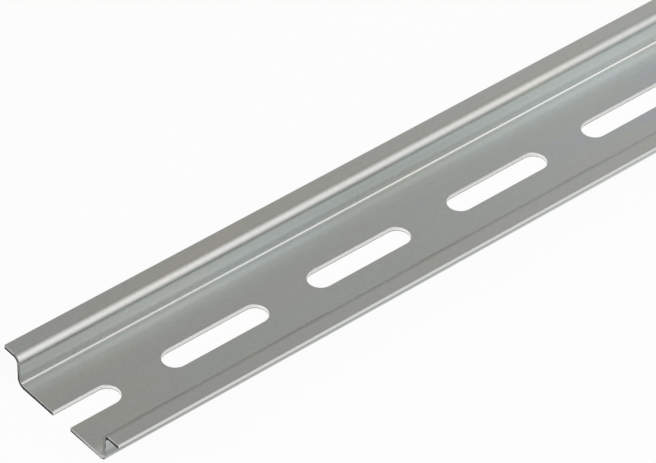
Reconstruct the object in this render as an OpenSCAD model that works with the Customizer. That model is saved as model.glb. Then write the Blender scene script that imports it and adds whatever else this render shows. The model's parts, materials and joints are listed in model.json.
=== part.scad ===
// Slotted top-hat mounting rail, 35 mm wide and 7.5 mm high.
// One strip of 1 mm steel, punched with a row of slots, rolled to a shallow
// channel with two flat lips, and sheared to length.
// X runs along the rail, Y across it and Z up. The origin is on the underside,
// at the middle of the length and the width, and the channel opens upwards.

/* [Stock] */
// Length that the rail is cut to
rail_length = 500; // [100:50:2000]

/* [Section] */
// Width over both lips
rail_w = 35; // [34:0.5:40]
// Width of the channel over the outside of its side walls
channel_w = 27.2; // [20:0.1:28]
// Height from the underside to the top of the lips
rail_h = 7.5; // [6.5:0.5:15]
// Thickness of the steel
sheet_t = 1; // [0.6:0.1:1.5]
// Inside radius of the bend at the foot of each side wall
foot_r = 0.8; // [0.2:0.1:1.6]
// Inside radius of the bend between each side wall and its lip
brow_r = 1.2; // [0.2:0.1:1.6]

/* [Slots] */
// Length of a slot, end to end
slot_l = 25; // [12:0.5:26]
// Width of a slot, which clears the fixing screw
slot_w = 5.4; // [4.2:0.1:6.4]
// Distance from one slot's centre to the next
slot_pitch = 36; // [28:0.5:50]
// Distance from the cut end to the centre of the first slot
first_slot = 1; // [0:0.5:14]

/* [Hidden] */
$fn = 64;
overlap = 1;                        // how far a cutting shape runs past what it cuts
wall_y = channel_w / 2;             // outside face of a side wall
foot_z = foot_r + sheet_t;          // centre line of the bend at a wall's foot
foot_y = wall_y - foot_z;
brow_y = wall_y + brow_r;           // centre line of the bend at a wall's top
brow_z = rail_h - sheet_t - brow_r;
end_x = rail_length / 2;
slot_reach = slot_l / 2 - slot_w / 2;  // from a slot's centre to the centre of its round end
slot_xs = [for (x = first_slot - end_x; x < end_x + slot_l / 2; x = x + slot_pitch) x];

// A quarter bend about the point at, which starts at the angle turn.
module bend(at, inside_r, turn) {
    outside_r = inside_r + sheet_t;
    translate(at)
        rotate(turn)
            intersection() {
                difference() {
                    circle(r = outside_r);
                    circle(r = inside_r);
                }
                square(outside_r + overlap);
            }
}

// A flat run of the sheet, from one corner to the corner across from it.
module run(from, to) {
    translate(from)
        square(to - from);
}

// The +Y half of the section, along the strip from the middle of the base to the
// edge of the lip.
module half_section() {
    run([0, 0], [foot_y, sheet_t]);
    bend([foot_y, foot_z], foot_r, -90);
    run([wall_y - sheet_t, foot_z], [wall_y, brow_z]);
    bend([brow_y, brow_z], brow_r, 90);
    run([brow_y, rail_h - sheet_t], [rail_w / 2, rail_h]);
}

module section() {
    half_section();
    mirror([1, 0]) half_section();
}

module strip() {
    translate([-end_x, 0, 0])
        rotate([90, 0, 90])
            linear_extrude(rail_length)
                section();
}

// One slot with round ends, cut through the base at x. Where x is near an end of
// the rail, the cut end leaves it open.
module slot(x) {
    translate([x, 0, -overlap])
        linear_extrude(sheet_t + 2 * overlap) {
            for (side = [-1, 1])
                translate([side * slot_reach, 0])
                    circle(d = slot_w);
            square([2 * slot_reach, slot_w], center = true);
        }
}

module rail() {
    color("silver")
        difference() {
            strip();
            for (x = slot_xs) slot(x);
        }
}

rail();
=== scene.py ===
# A length of slotted 35 mm top-hat rail lying on a pale studio floor.
# Metres throughout. X runs along the rail, Y across it and Z up.

import json
import math

import bpy
from mathutils import Matrix, Vector


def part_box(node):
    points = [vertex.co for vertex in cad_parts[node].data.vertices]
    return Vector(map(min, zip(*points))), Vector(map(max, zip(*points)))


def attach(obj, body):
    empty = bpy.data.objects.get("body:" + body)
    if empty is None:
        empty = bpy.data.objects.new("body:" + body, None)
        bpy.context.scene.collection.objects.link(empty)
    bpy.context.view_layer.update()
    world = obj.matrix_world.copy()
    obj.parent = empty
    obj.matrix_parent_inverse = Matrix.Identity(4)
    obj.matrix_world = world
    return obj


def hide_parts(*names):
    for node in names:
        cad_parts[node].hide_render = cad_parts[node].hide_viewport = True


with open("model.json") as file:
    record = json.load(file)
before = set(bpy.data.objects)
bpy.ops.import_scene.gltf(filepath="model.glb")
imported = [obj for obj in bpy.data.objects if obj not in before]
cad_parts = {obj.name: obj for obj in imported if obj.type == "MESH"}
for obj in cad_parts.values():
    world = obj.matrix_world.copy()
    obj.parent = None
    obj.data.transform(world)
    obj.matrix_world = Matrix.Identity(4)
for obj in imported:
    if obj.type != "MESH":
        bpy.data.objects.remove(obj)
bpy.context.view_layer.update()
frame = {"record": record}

low, high = (Vector(corner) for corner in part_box("rail"))
mounts = {mount["name"]: mount for mount in frame["record"]["mounts"]}


def toLinear(hexColour):
    parts = [int(hexColour[i : i + 2], 16) / 255 for i in (1, 3, 5)]
    linear = [p / 12.92 if p <= 0.04045 else ((p + 0.055) / 1.055) ** 2.4 for p in parts]
    return (*linear, 1.0)


def addNode(tree, kind, inputs=None, **settings):
    # settings are the node's own options; an input is either linked or given a value
    node = tree.nodes.new(kind)
    for name, value in settings.items():
        setattr(node, name, value)
    for key, value in (inputs or {}).items():
        if isinstance(value, bpy.types.NodeSocket):
            tree.links.new(value, node.inputs[key])
        else:
            node.inputs[key].default_value = value
    return node


def makeMaterial(name):
    material = bpy.data.materials.new(name)
    material.use_nodes = True
    tree = material.node_tree
    tree.nodes.clear()
    surface = addNode(tree, "ShaderNodeBsdfPrincipled")
    addNode(tree, "ShaderNodeOutputMaterial", {"Surface": surface.outputs["BSDF"]})
    return material, tree, surface


zincLook = {
    "tints": [  # the film's blotches, from faintly warm to faintly blue
        (0.34, "#CBCFCA"),
        (0.5, "#C9CFCD"),
        (0.66, "#C7CFCE"),
        (0.8, "#C5CED3"),
    ],
    "blotchLength": 0.045,
    "blotchWidth": 0.006,
    "filmReach": 0.0115,  # the film is bluest on the base between its bends, away from its ends
    "filmFade": 0.00575,
    "filmShift": 0.2,
    "mottleSize": 0.0008,
    "mottleSwing": 0.14,
    "drift": (0.5, -0.12),  # a slow wave of painted light along the rail: its length, and X where it passes its mean
    "driftSwing": 0.18,
    "wallWave": (0.11, -0.1275),  # a shorter one, for the painted light on the walls
    "outsideChange": -0.02,  # the outer side of the strip is a touch duller
    # Painted light and shade, in bands across the section: the base beside each bend is lighter, as
    # painted reflection of the wall, the bend at the foot has a painted highlight, the foot of the
    # wall is darker, as painted shade, and the
    # wall is a touch lighter higher up: (across or up, its middle, its reach, the change in
    # brightness).
    "paintedLightBands": [
        ("across", 0.0112, 0.0018, 0.23),
        ("up", 0.0012, 0.0002, "paintedFootHighlight"),
        ("up", 0.0023, 0.0013, -0.25),
        ("up", 0.0050, 0.0010, 0.03),
        ("up", 0.0037, 0.0033, "paintedWallLight"),
    ],
    "paintedFootHighlight": (0.13, 0.25),  # the painted highlight and the painted wall light vary: a mean, and a swing with the slow wave
    "paintedWallLight": (-0.02, 0.09),  # or with the shorter one
    "roughness": (0.33, 0.37),
    "rollLinePitch": 0.00035,
    "rollLineLength": 0.042,
    "rollLineSpread": (0.3, 0.7),  # the part of the lines' noise that the roughness is spread over
    "rollLineHeight": 0.0000003,
    "waveLength": 0.005,  # the strip isn't quite flat
    "waveHeight": 0.00003,
}


def makeRolledZinc(look):
    # Cold-rolled strip, bright zinc plated and blue passivated: a satin grey metal whose thin
    # passivation film drifts between neutral, faintly warm and faintly blue in long soft patches.
    material, tree, surface = makeMaterial("rolledZincPlatedSteel")
    place = addNode(tree, "ShaderNodeTexCoord").outputs["Object"]
    patchScale = (1 / look["blotchLength"], 1 / look["blotchWidth"], 1 / look["blotchWidth"])
    along = addNode(tree, "ShaderNodeMapping", {"Vector": place, "Scale": patchScale})
    patches = {"Vector": along.outputs[0], "Scale": 1.0, "Detail": 3.0, "Roughness": 0.55}
    blotches = addNode(tree, "ShaderNodeTexNoise", patches)

    # the colour drifts slowly along the strip as painted light, and the plating mottles it finely
    fine = {"Vector": place, "Scale": 1 / look["mottleSize"], "Detail": 2.0}
    mottle = addNode(tree, "ShaderNodeTexNoise", fine)
    depth = addNode(tree, "ShaderNodeAttribute", attribute_name="depth").outputs["Fac"]
    x, y, z = addNode(tree, "ShaderNodeSeparateXYZ", {0: place}).outputs
    values = {"x": x, "y": y, "up": z, "depth": depth}
    values.update(mottle=mottle.outputs["Fac"], blotches=blotches.outputs["Fac"])
    driftLength, driftStart = look["drift"]
    wallLength, wallStart = look["wallWave"]
    bendMean, bendSwing = look["paintedFootHighlight"]
    wallMean, wallSwing = look["paintedWallLight"]
    sums = [
        # two waves along the rail, and the painted light that each one changes
        ("drift", "SUBTRACT", "x", driftStart),
        ("drift", "MULTIPLY", "drift", 2 * math.pi / driftLength),
        ("drift", "SINE", "drift"),
        ("paintedFootHighlight", "MULTIPLY_ADD", "drift", bendSwing, bendMean),
        ("wallWave", "SUBTRACT", "x", wallStart),
        ("wallWave", "MULTIPLY", "wallWave", 2 * math.pi / wallLength),
        ("wallWave", "SINE", "wallWave"),
        ("paintedWallLight", "MULTIPLY_ADD", "wallWave", wallSwing, wallMean),
        # the share of the tint that is left
        ("share", "MULTIPLY_ADD", "drift", look["driftSwing"], 1.0 - look["mottleSwing"] / 2),
        ("share", "MULTIPLY_ADD", "mottle", look["mottleSwing"], "share"),
        ("outside", "GREATER_THAN", "depth", 0.5),
        ("share", "MULTIPLY_ADD", "outside", look["outsideChange"], "share"),
        # and where the tint is taken from
        ("across", "ABSOLUTE", "y"),
        ("middle", "SUBTRACT", look["filmReach"], "across"),
        ("middle", "DIVIDE", "middle", look["filmFade"]),
        ("middle", "MAXIMUM", "middle", 0.0),
        ("middle", "MINIMUM", "middle", 1.0),
        ("far", "ADD", "drift", 1.0),
        ("film", "MULTIPLY", "middle", "far"),
        ("film", "MULTIPLY_ADD", "film", look["filmShift"], "blotches"),
    ]
    # painted light and shade, in bands across the section
    for axis, middle, reach, change in look["paintedLightBands"]:
        sums += [
            ("away", "SUBTRACT", axis, middle),
            ("away", "ABSOLUTE", "away"),
            ("away", "DIVIDE", "away", reach),
            ("away", "MINIMUM", "away", 1.0),
            ("away", "MULTIPLY", "away", math.pi),
            ("bell", "COSINE", "away"),
            ("bell", "MULTIPLY_ADD", "bell", 0.5, 0.5),
            ("share", "MULTIPLY_ADD", "bell", change, "share"),
        ]
    for name, operation, *terms in sums:
        inputs = {number: values.get(term, term) for number, term in enumerate(terms)}
        values[name] = addNode(tree, "ShaderNodeMath", inputs, operation=operation).outputs[0]
    tint = addNode(tree, "ShaderNodeValToRGB", {"Fac": values["film"]})
    stops = tint.color_ramp.elements
    for number, (position, colour) in enumerate(look["tints"]):
        stop = stops[number] if number < 2 else stops.new(position)
        stop.position = position
        stop.color = toLinear(colour)
    scaled = {0: tint.outputs["Color"], "Scale": values["share"]}
    colour = addNode(tree, "ShaderNodeVectorMath", scaled, operation="SCALE")
    tree.links.new(colour.outputs[0], surface.inputs["Base Color"])
    surface.inputs["Metallic"].default_value = 1.0

    # fine lines that the mill's rolls leave along the strip
    pitch, length = look["rollLinePitch"], look["rollLineLength"]
    lineMap = {"Vector": place, "Scale": (1 / length, 1 / pitch, 1 / pitch)}
    lines = addNode(tree, "ShaderNodeMapping", lineMap)
    lineSet = {"Vector": lines.outputs[0], "Scale": 1.0, "Detail": 2.0}
    rollLines = addNode(tree, "ShaderNodeTexNoise", lineSet)
    least, most = look["rollLineSpread"]
    smooth, rough = look["roughness"]
    glossRange = {"From Min": least, "From Max": most, "To Min": smooth, "To Max": rough}
    gloss = addNode(tree, "ShaderNodeMapRange", {"Value": rollLines.outputs["Fac"], **glossRange})
    tree.links.new(gloss.outputs["Result"], surface.inputs["Roughness"])
    waveSet = {"Vector": place, "Scale": 1 / look["waveLength"], "Detail": 1.0}
    waves = addNode(tree, "ShaderNodeTexNoise", waveSet)
    swell = {"Strength": 1.0, "Distance": look["waveHeight"], "Height": waves.outputs["Fac"]}
    wavy = addNode(tree, "ShaderNodeBump", swell)
    relief = {"Strength": 1.0, "Distance": look["rollLineHeight"], "Height": rollLines.outputs["Fac"]}
    bump = addNode(tree, "ShaderNodeBump", {**relief, "Normal": wavy.outputs["Normal"]})
    tree.links.new(bump.outputs["Normal"], surface.inputs["Normal"])
    return material


punchedLook = {
    "bands": [  # depth below the sheet's upper face, as a share of it, and the colour there
        (0.0, "#C4C6C3"),
        (0.15, "#DBDDDA"),
        (0.80, "#D8DAD7"),
        # the dark line at the bottom: torn steel, painted darker still as shade
        (0.90, "#7A7B78"),
        (1.0, "#7A7B78"),
    ],
    "slotReach": 0.004,  # nearer the rail's middle than this, an edge is a slot's
    "slotTear": 0.05,  # the punch tears the lower edge of a slot thicker than the slitter does, widening the dark line of torn steel and painted shade
    # painted reflection: the walls of slots are lighter than the slit edges
    "paintedSlotReflection": 0.1,
    "paintedEndReflection": 0.3,  # the round ends of a slot are painted lighter than its sides, as reflection
    "waver": 0.1,
    "streakPitch": 0.0006,
    "streakLength": 0.0048,
    "streakHeight": 0.00001,
    "streakStrength": 0.5,
    "roughness": 0.42,
}


def makePunchedZinc(look):
    # Punched and slit edges, plated like the rest: a pale burnished band where the tool slid, and
    # a thin dark line along its lower edge, torn steel darkened further as painted shade; the slots'
    # walls and round ends are painted lighter, as reflection.
    material, tree, surface = makeMaterial("punchedZincPlatedSteel")
    coordinates = addNode(tree, "ShaderNodeTexCoord").outputs
    place = coordinates["Object"]
    facing = addNode(tree, "ShaderNodeSeparateXYZ", {0: coordinates["Normal"]}).outputs[0]
    depth = addNode(tree, "ShaderNodeAttribute", attribute_name="depth").outputs["Fac"]
    pitch, length = look["streakPitch"], look["streakLength"]
    upright = {"Vector": place, "Scale": (1 / pitch, 1 / pitch, 1 / length)}
    streakMap = addNode(tree, "ShaderNodeMapping", upright)
    streakSet = {"Vector": streakMap.outputs[0], "Scale": 1.0, "Detail": 2.0}
    streaks = addNode(tree, "ShaderNodeTexNoise", streakSet).outputs["Fac"]
    y = addNode(tree, "ShaderNodeSeparateXYZ", {0: place}).outputs[1]
    values = {"y": y, "depth": depth, "facing": facing, "streaks": streaks}
    for name, operation, *terms in (
        ("level", "SUBTRACT", "depth", look["waver"] / 2),
        ("level", "MULTIPLY_ADD", "streaks", look["waver"], "level"),
        ("across", "ABSOLUTE", "y"),
        ("inSlot", "LESS_THAN", "across", look["slotReach"]),
        ("level", "MULTIPLY_ADD", "inSlot", look["slotTear"], "level"),
        # painted reflection: lighter where a face points along the rail, and in slots
        ("paintedReflection", "MULTIPLY", "facing", "facing"),
        ("paintedReflection", "MULTIPLY_ADD", "paintedReflection", look["paintedEndReflection"], 1.0),
        ("paintedReflection", "MULTIPLY_ADD", "inSlot", look["paintedSlotReflection"], "paintedReflection"),
    ):
        inputs = {number: values.get(term, term) for number, term in enumerate(terms)}
        values[name] = addNode(tree, "ShaderNodeMath", inputs, operation=operation).outputs[0]
    bands = addNode(tree, "ShaderNodeValToRGB", {"Fac": values["level"]})
    stops = bands.color_ramp.elements
    for number, (position, colour) in enumerate(look["bands"]):
        stop = stops[number] if number < 2 else stops.new(position)
        stop.position = position
        stop.color = toLinear(colour)
    scaled = {0: bands.outputs["Color"], "Scale": values["paintedReflection"]}
    colour = addNode(tree, "ShaderNodeVectorMath", scaled, operation="SCALE")
    tree.links.new(colour.outputs[0], surface.inputs["Base Color"])
    surface.inputs["Metallic"].default_value = 1.0
    surface.inputs["Roughness"].default_value = look["roughness"]
    relief = {"Strength": look["streakStrength"], "Distance": look["streakHeight"], "Height": streaks}
    bump = addNode(tree, "ShaderNodeBump", relief)
    tree.links.new(bump.outputs["Normal"], surface.inputs["Normal"])
    return material


shearedLook = {
    "burnished": "#BDBFBC",
    "burnishedWall": "#858683",
    # torn bare steel, painted near black as shade
    "tornAndShaded": "#262524",
    "tearStart": 0.27,  # share of the sheet that the blade burnishes, from its upper or inner face
    "tearStartWall": 0.68,
    "rake": 46.0,  # the raked blade burnishes more of the base towards -Y, by this share a metre
    "rakeMost": 0.6,
    "darkeningReach": 1.6,  # how far the darker colour of the wall's end runs into its upper bend, in thicknesses
    "darkeningFade": 0.6,
    "tearBlend": 0.12,
    "waver": 0.3,
    "grain": 0.0005,
    "grainHeight": 0.00002,
    "grainStrength": 0.6,
    "roughness": (0.38, 0.6),
}


def makeShearedSteel(look, sizes):
    # The two ends are sheared after plating. The blade smears zinc over the first part of the sheet,
    # which stays bright, and tears the rest, which is bare steel: dark, matt and grainy, and painted
    # darker still as shade.
    material, tree, surface = makeMaterial("shearedSteel")
    place = addNode(tree, "ShaderNodeTexCoord").outputs["Object"]
    parts = addNode(tree, "ShaderNodeSeparateXYZ", {0: place}).outputs
    depth = addNode(tree, "ShaderNodeAttribute", attribute_name="depth").outputs["Fac"]
    grainSet = {"Vector": place, "Scale": 1 / look["grain"], "Detail": 3.0}
    grain = addNode(tree, "ShaderNodeTexNoise", grainSet).outputs["Fac"]
    middle, sheet = sizes["railHeight"] / 2, sizes["sheetThickness"]
    wallMiddle = (sizes["channelWidth"] - sheet) / 2
    values = {"y": parts["Y"], "z": parts["Z"], "depth": depth, "grain": grain}
    for name, operation, *terms in (
        # 1 on the upright walls, down to 0 on the base and the lips
        ("onWall", "SUBTRACT", "z", middle),
        ("onWall", "ABSOLUTE", "onWall"),
        ("onWall", "SUBTRACT", middle - sheet, "onWall"),
        ("onWall", "DIVIDE", "onWall", sheet),
        ("onWall", "MAXIMUM", "onWall", 0.0),
        ("onWall", "MINIMUM", "onWall", 1.0),
        # and where the burnished part is darker: all of the wall, up into the bend at its top
        ("low", "LESS_THAN", "z", middle),
        ("high", "SUBTRACT", 1.0, "low"),
        ("across", "ABSOLUTE", "y"),
        ("wallDarkening", "SUBTRACT", "across", wallMiddle),
        ("wallDarkening", "ABSOLUTE", "wallDarkening"),
        ("wallDarkening", "SUBTRACT", look["darkeningReach"] * sheet, "wallDarkening"),
        ("wallDarkening", "DIVIDE", "wallDarkening", look["darkeningFade"] * sheet),
        ("wallDarkening", "MAXIMUM", "wallDarkening", 0.0),
        ("wallDarkening", "MINIMUM", "wallDarkening", "high"),
        ("wallDarkening", "MAXIMUM", "wallDarkening", "onWall"),
        # 0 where the end is burnished, 1 where it is torn: bare steel, painted darker still as shade
        ("start", "MULTIPLY", "y", -look["rake"]),
        ("start", "MAXIMUM", "start", 0.0),
        ("start", "MINIMUM", "start", look["rakeMost"]),
        ("start", "MULTIPLY", "start", "low"),
        ("start", "MULTIPLY_ADD", "onWall", look["tearStartWall"] - look["tearStart"], "start"),
        ("tornAndShaded", "SUBTRACT", "depth", "start"),
        ("tornAndShaded", "SUBTRACT", "tornAndShaded", look["tearStart"] + look["waver"] / 2),
        ("tornAndShaded", "MULTIPLY_ADD", "grain", look["waver"], "tornAndShaded"),
        ("tornAndShaded", "DIVIDE", "tornAndShaded", look["tearBlend"]),
        ("tornAndShaded", "MAXIMUM", "tornAndShaded", 0.0),
        ("tornAndShaded", "MINIMUM", "tornAndShaded", 1.0),
    ):
        inputs = {number: values.get(term, term) for number, term in enumerate(terms)}
        values[name] = addNode(tree, "ShaderNodeMath", inputs, operation=operation).outputs[0]
    # inputs 6 and 7 of a colour mix are its two colours, and output 2 is the mix
    bright, wallDarkening, tornAndShaded = (toLinear(look[name]) for name in ("burnished", "burnishedWall", "tornAndShaded"))
    smear = {"Factor": values["wallDarkening"], 6: bright, 7: wallDarkening}
    burnished = addNode(tree, "ShaderNodeMix", smear, data_type="RGBA")
    blend = {"Factor": values["tornAndShaded"], 6: burnished.outputs[2], 7: tornAndShaded}
    colour = addNode(tree, "ShaderNodeMix", blend, data_type="RGBA")
    tree.links.new(colour.outputs[2], surface.inputs["Base Color"])
    surface.inputs["Metallic"].default_value = 1.0
    smooth, rough = look["roughness"]
    glossRange = {"Value": values["tornAndShaded"], "To Min": smooth, "To Max": rough}
    gloss = addNode(tree, "ShaderNodeMapRange", glossRange)
    tree.links.new(gloss.outputs["Result"], surface.inputs["Roughness"])
    relief = {"Strength": look["grainStrength"], "Distance": look["grainHeight"], "Height": grain}
    bump = addNode(tree, "ShaderNodeBump", relief)
    tree.links.new(bump.outputs["Normal"], surface.inputs["Normal"])
    return material


# The slots are where the mounts say: each pair is centred on its mount, spacing_x_mm apart. The
# first and last slots are cut open by the rail's ends, so no mount gives them.
slotPairs = [m for name, m in mounts.items() if name.startswith("fixing_slots")]
slotCentres = sorted(
    {
        round(m["pos_m"][0] + side * m["dims"]["spacing_x_mm"] / 2000, 6)
        for m in slotPairs
        for side in (-1, 1)
    }
)
slotPitch = min(b - a for a, b in zip(slotCentres, slotCentres[1:]))

railSizes = {
    "railLength": high.x - low.x,
    "railWidth": high.y - low.y,
    "railHeight": high.z - low.z,
    "sheetThickness": high.z - mounts["left_lip_grip"]["pos_m"][2],
    "channelWidth": 0.0272,  # over the outside of both walls
    "footRadius": 0.0008,  # inside the bend at the foot of each wall
    "browRadius": 0.0012,  # inside the bend between a wall and its lip
    "slotLength": slotPairs[0]["dims"]["slot_length_mm"] / 1000,
    "slotWidth": 2 * slotPairs[0]["dims"]["hole_r_mm"] / 1000,
    "slotPitch": slotPitch,
    "firstSlot": slotCentres[0] - slotPitch,
    "slotCount": len(slotCentres) + 2,
    "slitRollover": 0.00005,  # radius of the upper edge that slitting leaves on each lip
    "slitBurr": 0.00004,  # and of its lower edge
    "bendSteps": 16,
    "slotSteps": 24,
    "rolloverSteps": 3,
    "burrSteps": 2,
}

edgeSizes = {
    "width": 0.0002,  # rounding where the punch pushed into the sheet
    "punchSide": 1.0,  # shares of that width
    "dieSide": 0.3,
    "cutEnd": 0.25,
    "sharpFrom": 50.0,  # degrees between two faces, from which their edge is rounded
    "segments": 3,
}

rolledZinc = makeRolledZinc(zincLook)
punchedZinc = makePunchedZinc(punchedLook)
shearedSteel = makeShearedSteel(shearedLook, railSizes)
print("materials made")


def makeRailTree(sizes):
    # The section is drawn and filleted, run along X, and punched by one row of slots.
    tree = bpy.data.node_groups.new("slottedRail", "GeometryNodeTree")
    tree.interface.new_socket("Geometry", in_out="OUTPUT", socket_type="NodeSocketGeometry")
    for name, value in sizes.items():
        kind = "NodeSocketInt" if isinstance(value, int) else "NodeSocketFloat"
        tree.interface.new_socket(name, in_out="INPUT", socket_type=kind)
    for name in ("rolledMaterial", "punchedMaterial", "endMaterial"):
        tree.interface.new_socket(name, in_out="INPUT", socket_type="NodeSocketMaterial")
    given = tree.nodes.new("NodeGroupInput").outputs

    # what the sums below start from, and then every sum by its name
    position = addNode(tree, "GeometryNodeInputPosition").outputs[0]
    values = {name: given[name] for name in sizes}
    values.update(zip("xyz", addNode(tree, "ShaderNodeSeparateXYZ", {0: position}).outputs))
    facing = addNode(tree, "GeometryNodeInputNormal").outputs[0]
    values["facingUp"] = addNode(tree, "ShaderNodeSeparateXYZ", {0: facing}).outputs[2]
    values["index"] = addNode(tree, "GeometryNodeInputIndex").outputs[0]
    values["edgeAngle"] = addNode(tree, "GeometryNodeInputMeshEdgeAngle").outputs[0]
    small = 0.00001  # keeps the tests of place clear of rounding errors
    for name, operation, *terms in (
        ("halfLength", "MULTIPLY", "railLength", 0.5),
        ("halfWidth", "MULTIPLY", "railWidth", 0.5),
        ("wallOutside", "MULTIPLY", "channelWidth", 0.5),
        ("wallInside", "SUBTRACT", "wallOutside", "sheetThickness"),
        ("lipUnderside", "SUBTRACT", "railHeight", "sheetThickness"),
        ("footOutside", "ADD", "footRadius", "sheetThickness"),
        ("browOutside", "ADD", "browRadius", "sheetThickness"),
        ("alongRail", "SUBTRACT", "z", "halfLength"),
        # a slot's outline: half a turn of points round each end
        ("slotRadius", "MULTIPLY", "slotWidth", 0.5),
        ("slotReach", "MULTIPLY", "slotLength", 0.5),
        ("slotReach", "SUBTRACT", "slotReach", "slotRadius"),
        ("firstEndLast", "ADD", "slotSteps", 0.5),
        ("secondEnd", "GREATER_THAN", "index", "firstEndLast"),
        ("turn", "SUBTRACT", "index", "secondEnd"),
        ("turn", "DIVIDE", "turn", "slotSteps"),
        ("turn", "MULTIPLY_ADD", "turn", math.pi, -math.pi / 2),
        ("endSide", "MULTIPLY_ADD", "secondEnd", -2.0, 1.0),
        ("endX", "MULTIPLY", "slotReach", "endSide"),
        ("ringX", "COSINE", "turn"),
        ("ringX", "MULTIPLY_ADD", "ringX", "slotRadius", "endX"),
        ("ringY", "SINE", "turn"),
        ("ringY", "MULTIPLY", "ringY", "slotRadius"),
        ("ringCount", "MULTIPLY_ADD", "slotSteps", 2.0, 2.0),
        ("punchBottom", "MULTIPLY", "sheetThickness", -1.0),
        ("punchTop", "MULTIPLY", "sheetThickness", 2.0),
        # where an edge or a face is
        ("fromCentre", "ABSOLUTE", "x"),
        ("fromMiddle", "ABSOLUTE", "y"),
        ("endLimit", "SUBTRACT", "halfLength", small),
        ("onEnd", "GREATER_THAN", "fromCentre", "endLimit"),
        ("slotLimit", "ADD", "slotRadius", small),
        ("inSlot", "LESS_THAN", "fromMiddle", "slotLimit"),
        ("topLimit", "SUBTRACT", "sheetThickness", small),
        ("onTop", "GREATER_THAN", "z", "topLimit"),
        ("onBottom", "LESS_THAN", "z", small),
        # how much an edge is rounded, as a share of the full width
        ("punchSide", "MULTIPLY", "inSlot", "onTop"),
        ("punchSide", "MULTIPLY", "punchSide", edgeSizes["punchSide"]),
        ("dieSide", "MULTIPLY", "inSlot", "onBottom"),
        ("dieSide", "MULTIPLY", "dieSide", edgeSizes["dieSide"]),
        ("cutEnd", "MULTIPLY", "onEnd", edgeSizes["cutEnd"]),
        ("rounding", "MAXIMUM", "punchSide", "dieSide"),
        ("rounding", "MAXIMUM", "rounding", "cutEnd"),
        ("sharp", "GREATER_THAN", "edgeAngle", math.radians(edgeSizes["sharpFrom"])),
        ("rounding", "MULTIPLY", "rounding", "sharp"),
        # depth through the sheet, from 0 on its inner or upper face to 1 on the outer or lower one:
        # low down from the centre line of the bend at the foot, and high up from that at the lip
        ("footY", "SUBTRACT", "wallOutside", "footOutside"),
        ("footY", "SUBTRACT", "fromMiddle", "footY"),
        ("footY", "MAXIMUM", "footY", 0.0),
        ("footY", "MULTIPLY", "footY", "footY"),
        ("footZ", "SUBTRACT", "footOutside", "z"),
        ("footZ", "MAXIMUM", "footZ", 0.0),
        ("footZ", "MULTIPLY_ADD", "footZ", "footZ", "footY"),
        ("footZ", "SQRT", "footZ"),
        ("lowDepth", "SUBTRACT", "footZ", "footRadius"),
        ("browY", "ADD", "wallOutside", "browRadius"),
        ("browY", "SUBTRACT", "browY", "fromMiddle"),
        ("browY", "MAXIMUM", "browY", 0.0),
        ("browY", "MULTIPLY", "browY", "browY"),
        ("browZ", "SUBTRACT", "lipUnderside", "browRadius"),
        ("browZ", "SUBTRACT", "z", "browZ"),
        ("browZ", "MAXIMUM", "browZ", 0.0),
        ("browZ", "MULTIPLY_ADD", "browZ", "browZ", "browY"),
        ("browZ", "SQRT", "browZ"),
        ("highDepth", "SUBTRACT", "browOutside", "browZ"),
        ("halfHeight", "MULTIPLY", "railHeight", 0.5),
        ("isHigh", "GREATER_THAN", "z", "halfHeight"),
        ("isLow", "SUBTRACT", 1.0, "isHigh"),
        ("depth", "MULTIPLY", "lowDepth", "isLow"),
        ("depth", "MULTIPLY_ADD", "highDepth", "isHigh", "depth"),
        ("depth", "DIVIDE", "depth", "sheetThickness"),
        # which faces stand upright in a slot, or on the slit edge of a lip
        ("upright", "ABSOLUTE", "facingUp"),
        ("upright", "LESS_THAN", "upright", 0.5),
        ("slotWall", "MULTIPLY", "upright", "inSlot"),
        ("slitLimit", "MULTIPLY_ADD", "slitRollover", -0.5, "halfWidth"),
        ("pastSlit", "GREATER_THAN", "fromMiddle", "slitLimit"),
        ("slitEdge", "MULTIPLY", "upright", "pastSlit"),
    ):
        inputs = {number: values.get(term, term) for number, term in enumerate(terms)}
        values[name] = addNode(tree, "ShaderNodeMath", inputs, operation=operation).outputs[0]

    # the section's corners, as (across, up, rounding, steps), round from the -Y lip's top edge
    halfOutline = [
        ("halfWidth", "railHeight", "slitRollover", "rolloverSteps"),
        ("wallInside", "railHeight", "browOutside", "bendSteps"),
        ("wallInside", "sheetThickness", "footRadius", "bendSteps"),
    ]
    halfUnderside = [
        ("wallOutside", 0.0, "footOutside", "bendSteps"),
        ("wallOutside", "lipUnderside", "browRadius", "bendSteps"),
        ("halfWidth", "lipUnderside", "slitBurr", "burrSteps"),
    ]
    corners = [(-1.0, *corner) for corner in halfOutline]
    corners += [(1.0, *corner) for corner in reversed(halfOutline)]
    corners += [(1.0, *corner) for corner in reversed(halfUnderside)]
    corners += [(-1.0, *corner) for corner in halfUnderside]
    places, radii, steps = [], [], []
    for side, across, up, rounding, count in corners:
        y = addNode(tree, "ShaderNodeMath", {0: values[across], 1: side}, operation="MULTIPLY")
        place = addNode(tree, "ShaderNodeCombineXYZ", {0: y.outputs[0], 1: values.get(up, up)})
        places.append(place.outputs[0])
        radii.append(values[rounding])
        steps.append(values[count])
    lists = []
    for kind, items in (("VECTOR", places), ("FLOAT", radii), ("INT", steps)):
        chosen = addNode(tree, "GeometryNodeIndexSwitch", {"Index": values["index"]}, data_type=kind)
        while len(chosen.index_switch_items) < len(corners):
            chosen.index_switch_items.new()
        for number, item in enumerate(items, 1):
            tree.links.new(item, chosen.inputs[number])
        lists.append(chosen.outputs[0])
    corner, radius, stepCount = lists
    cornerPoints = {"Count": len(corners), "Position": corner}
    points = addNode(tree, "GeometryNodePoints", cornerPoints)
    outline = addNode(tree, "GeometryNodePointsToCurves", {"Points": points.outputs[0]})
    loop = {"Geometry": outline.outputs[0], "Cyclic": True}
    closed = addNode(tree, "GeometryNodeSetSplineCyclic", loop)
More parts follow.
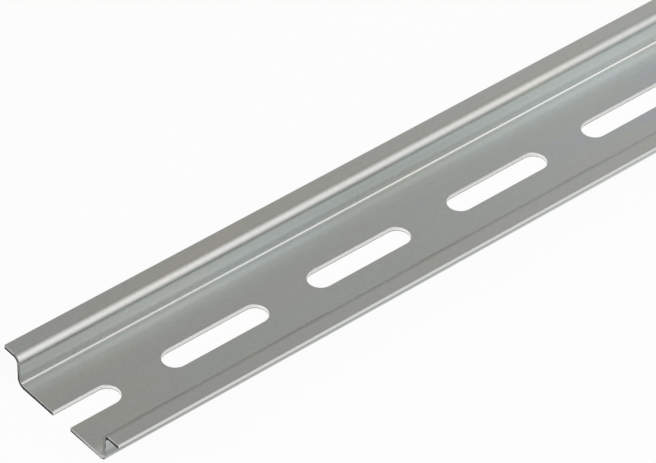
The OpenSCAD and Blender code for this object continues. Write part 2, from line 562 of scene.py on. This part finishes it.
    bends = {"Curve": closed.outputs[0], "Count": stepCount, "Radius": radius}
    section = addNode(tree, "GeometryNodeFilletCurve", bends, mode="POLY")
    runEnd = addNode(tree, "ShaderNodeCombineXYZ", {2: values["railLength"]})
    ends = {"Start": (0, 0, 0), "End": runEnd.outputs[0]}
    run = addNode(tree, "GeometryNodeCurvePrimitiveLine", ends)
    swept = {"Curve": run.outputs[0], "Profile Curve": section.outputs[0], "Fill Caps": True}
    strip = addNode(tree, "GeometryNodeCurveToMesh", swept)
    # drawn upright along Z, and laid down so that the run is along X
    turned = {0: values["alongRail"], 1: values["x"], 2: values["y"]}
    lying = addNode(tree, "ShaderNodeCombineXYZ", turned)
    moved = {"Geometry": strip.outputs[0], "Position": lying.outputs[0]}
    laid = addNode(tree, "GeometryNodeSetPosition", moved)

    # the row of slots, cut by one long punch for each
    ring = addNode(tree, "ShaderNodeCombineXYZ", {0: values["ringX"], 1: values["ringY"]})
    ringSet = {"Count": values["ringCount"], "Position": ring.outputs[0]}
    ringPoints = addNode(tree, "GeometryNodePoints", ringSet)
    ringCurve = addNode(tree, "GeometryNodePointsToCurves", {"Points": ringPoints.outputs[0]})
    loop = {"Geometry": ringCurve.outputs[0], "Cyclic": True}
    ringClosed = addNode(tree, "GeometryNodeSetSplineCyclic", loop)
    bottom = addNode(tree, "ShaderNodeCombineXYZ", {2: values["punchBottom"]})
    top = addNode(tree, "ShaderNodeCombineXYZ", {2: values["punchTop"]})
    ends = {"Start": bottom.outputs[0], "End": top.outputs[0]}
    stroke = addNode(tree, "GeometryNodeCurvePrimitiveLine", ends)
    punching = {"Curve": stroke.outputs[0], "Profile Curve": ringClosed.outputs[0], "Fill Caps": True}
    punch = addNode(tree, "GeometryNodeCurveToMesh", punching)
    first = addNode(tree, "ShaderNodeCombineXYZ", {0: values["firstSlot"]})
    pitch = addNode(tree, "ShaderNodeCombineXYZ", {0: values["slotPitch"]})
    rowStart = {"Start Location": first.outputs[0], "Offset": pitch.outputs[0]}
    row = addNode(tree, "GeometryNodeMeshLine", {"Count": values["slotCount"], **rowStart})
    onRow = {"Points": row.outputs[0], "Instance": punch.outputs[0]}
    punches = addNode(tree, "GeometryNodeInstanceOnPoints", onRow)
    punchRow = addNode(tree, "GeometryNodeRealizeInstances", {0: punches.outputs[0]})
    cut = {"Mesh 1": laid.outputs[0], "Mesh 2": punchRow.outputs[0]}
    punched = addNode(tree, "GeometryNodeMeshBoolean", cut, operation="DIFFERENCE", solver="EXACT")

    # how much each edge is rounded afterwards, and the depth that the materials read
    marked = punched
    for name, source, domain in (
        ("bevel_weight_edge", "rounding", "EDGE"),
        ("depth", "depth", "POINT"),
    ):
        stored = {"Geometry": marked.outputs[0], "Name": name, "Value": values[source]}
        marked = addNode(
            tree, "GeometryNodeStoreNamedAttribute", stored, data_type="FLOAT", domain=domain
        )
    shading = {"Geometry": marked.outputs[0], "Shade Smooth": True}
    finished = addNode(tree, "GeometryNodeSetShadeSmooth", shading)
    for name, selection in (
        ("rolledMaterial", True),
        ("punchedMaterial", values["slotWall"]),
        ("punchedMaterial", values["slitEdge"]),
        ("endMaterial", values["onEnd"]),
    ):
        finish = {"Geometry": finished.outputs[0], "Selection": selection, "Material": given[name]}
        finished = addNode(tree, "GeometryNodeSetMaterial", finish)
    addNode(tree, "NodeGroupOutput", {0: finished.outputs[0]})
    return tree


def makeRail(sizes):
    tree = makeRailTree(sizes)
    mesh = bpy.data.meshes.new("railStart")
    maker = bpy.data.objects.new("railMaker", mesh)
    bpy.context.scene.collection.objects.link(maker)
    shape = maker.modifiers.new("shape", "NODES")
    shape.node_group = tree
    finishes = {"rolledMaterial": rolledZinc, "punchedMaterial": punchedZinc}
    values = {**sizes, **finishes, "endMaterial": shearedSteel}
    for item in tree.interface.items_tree:
        if item.in_out == "INPUT":
            shape[item.identifier] = values[item.name]
    rounding = maker.modifiers.new("rounding", "BEVEL")
    rounding.limit_method = "WEIGHT"
    rounding.width = edgeSizes["width"]
    rounding.segments = edgeSizes["segments"]
    shading = maker.modifiers.new("shading", "WEIGHTED_NORMAL")
    shading.keep_sharp = True
    view = bpy.context.evaluated_depsgraph_get()
    finished = bpy.data.meshes.new_from_object(maker.evaluated_get(view), depsgraph=view)
    bpy.data.objects.remove(maker)
    finished.name = "slottedRail"
    rail = bpy.data.objects.new("slottedRail", finished)
    bpy.context.scene.collection.objects.link(rail)
    return rail


rail = makeRail(railSizes)
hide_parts("rail")
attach(rail, "root")
print("rail made:", len(rail.data.polygons), "faces")


floorLook = {
    "colour": "#F0F0EE",
    "reach": 20.0,
    "gap": 0.00003,  # it lies this far under the rail, so that their faces don't mix
    "whiteShare": 0.94,  # the rest is the floor's own shading, which keeps the shadow
    "reflectedShare": 0.85,  # the same, where the metal reflects the floor
}


def makeFloor(look):
    material = bpy.data.materials.new("paleFloor")
    material.use_nodes = True
    tree = material.node_tree
    tree.nodes.clear()
    paper = addNode(tree, "ShaderNodeBsdfDiffuse", {"Color": toLinear(look["colour"])})
    white = addNode(tree, "ShaderNodeEmission", {"Color": (1, 1, 1, 1), "Strength": 1.0})
    path = addNode(tree, "ShaderNodeLightPath").outputs
    straight = {0: path["Is Camera Ray"], 1: path["Is Transmission Ray"]}
    seen = addNode(tree, "ShaderNodeMath", straight, operation="MAXIMUM")
    bounced = {0: path["Is Glossy Ray"], 1: look["reflectedShare"]}
    reflected = addNode(tree, "ShaderNodeMath", bounced, operation="MULTIPLY")
    either = {0: seen.outputs[0], 1: look["whiteShare"], 2: reflected.outputs[0]}
    share = addNode(tree, "ShaderNodeMath", either, operation="MULTIPLY_ADD")
    faces = {0: share.outputs[0], 1: paper.outputs[0], 2: white.outputs[0]}
    front = addNode(tree, "ShaderNodeMixShader", faces)
    # nothing is drawn from below, so that the underside can be looked at
    below = addNode(tree, "ShaderNodeNewGeometry").outputs["Backfacing"]
    clear = addNode(tree, "ShaderNodeBsdfTransparent")
    sides = addNode(tree, "ShaderNodeMixShader", {0: below, 1: front.outputs[0], 2: clear.outputs[0]})
    addNode(tree, "ShaderNodeOutputMaterial", {"Surface": sides.outputs[0]})
    mesh = bpy.data.meshes.new("floor")
    r, z = look["reach"], low.z - look["gap"]
    mesh.from_pydata([(-r, -r, z), (r, -r, z), (r, r, z), (-r, r, z)], [], [(0, 1, 2, 3)])
    mesh.materials.append(material)
    floor = bpy.data.objects.new("floor", mesh)
    bpy.context.scene.collection.objects.link(floor)


makeFloor(floorLook)
print("floor made")


cameraSetup = {
    "aimAt": (-0.176175, 0.010456, 0.0),
    "azimuth": -40.647,
    "elevation": 41.36,
    "roll": 1.169,
    "distance": 0.885385,
    "lens": 246.83,
    "sensor": 36.0,
    "clip": (0.01, 100.0),
}


def makeCamera(setup):
    a, e, r = (math.radians(setup[k]) for k in ("azimuth", "elevation", "roll"))
    back = Vector((math.sin(a) * math.cos(e), -math.cos(a) * math.cos(e), math.sin(e)))
    level = (-back).cross(Vector((0, 0, 1))).normalized()
    upright = level.cross(-back)
    right = math.cos(r) * level + math.sin(r) * upright
    up = -math.sin(r) * level + math.cos(r) * upright
    lens = bpy.data.cameras.new("camera")
    lens.lens = setup["lens"]
    lens.sensor_width = setup["sensor"]
    lens.clip_start, lens.clip_end = setup["clip"]
    camera = bpy.data.objects.new("camera", lens)
    turned = Matrix((right, up, back)).transposed().to_4x4()
    turned.translation = Vector(setup["aimAt"]) + back * setup["distance"]
    camera.matrix_world = turned
    bpy.context.scene.collection.objects.link(camera)
    bpy.context.scene.camera = camera


makeCamera(cameraSetup)


lightSetup = {
    "room": (0.452, 0.427, 0.394),
    "softboxes": [
        # Each one runs along the rail and faces it from an angle above its +Y side. Light is given as
        # what leaves the middle of the box, and softEdge as the share of its half size that fades.
        {
            "name": "key",
            "angle": 136,
            "distance": 0.45,
            "middleX": -0.12,
            "size": (1.34, 1.0),
            "softEdge": (1.0, 1.0),
            "light": (1.6, 1.51, 1.56),
        },
        {
            "name": "fill",
            "angle": 54,
            "distance": 0.45,
            "middleX": 0.03,
            "size": (1.2, 0.52),
            "softEdge": (1.0, 1.0),
            "light": (0.19, 0.182, 0.196),
        },
    ],
}


def makeSoftbox(look):
    name, (long, wide), light = look["name"], look["size"], look["light"]
    lamp = bpy.data.lights.new(name, "AREA")
    lamp.shape = "RECTANGLE"
    lamp.size, lamp.size_y = long, wide
    lamp.energy = max(light) * math.pi * long * wide
    lamp.color = [part / max(light) for part in light]
    lamp.use_nodes = True
    tree = lamp.node_tree
    tree.nodes.clear()
    place = addNode(tree, "ShaderNodeNewGeometry").outputs["Parametric"]
    sides = addNode(tree, "ShaderNodeSeparateXYZ", {0: place}).outputs
    fades = []
    for side, softEdge in zip(sides, look["softEdge"]):
        fromMiddle = addNode(tree, "ShaderNodeMath", {0: side, 1: 0.5}, operation="SUBTRACT")
        away = addNode(tree, "ShaderNodeMath", {0: fromMiddle.outputs[0]}, operation="ABSOLUTE")
        ends = {"Value": away.outputs[0], "From Min": 0.5, "From Max": 0.5 * (1 - softEdge)}
        fade = addNode(tree, "ShaderNodeMapRange", ends, interpolation_type="SMOOTHSTEP")
        fades.append(fade.outputs[0])
    glow = addNode(tree, "ShaderNodeMath", {0: fades[0], 1: fades[1]}, operation="MULTIPLY")
    cloth = addNode(tree, "ShaderNodeEmission", {"Strength": glow.outputs[0]})
    addNode(tree, "ShaderNodeOutputLight", {0: cloth.outputs[0]})
    box = bpy.data.objects.new(name, lamp)
    turn = math.radians(look["angle"])
    back = Vector((0, math.cos(turn), math.sin(turn)))
    along = Vector((1, 0, 0))
    turned = Matrix((along, back.cross(along), back)).transposed().to_4x4()
    turned.translation = Vector((look["middleX"], 0, 0)) + back * look["distance"]
    box.matrix_world = turned
    box.visible_camera = False
    bpy.context.scene.collection.objects.link(box)


def makeLights(setup):
    world = bpy.data.worlds.new("studio")
    world.use_nodes = True
    world.node_tree.nodes["Background"].inputs["Color"].default_value = (*setup["room"], 1.0)
    bpy.context.scene.world = world
    for look in setup["softboxes"]:
        makeSoftbox(look)


makeLights(lightSetup)
bpy.context.scene.view_settings.view_transform = "Standard"
print("camera and lights made")
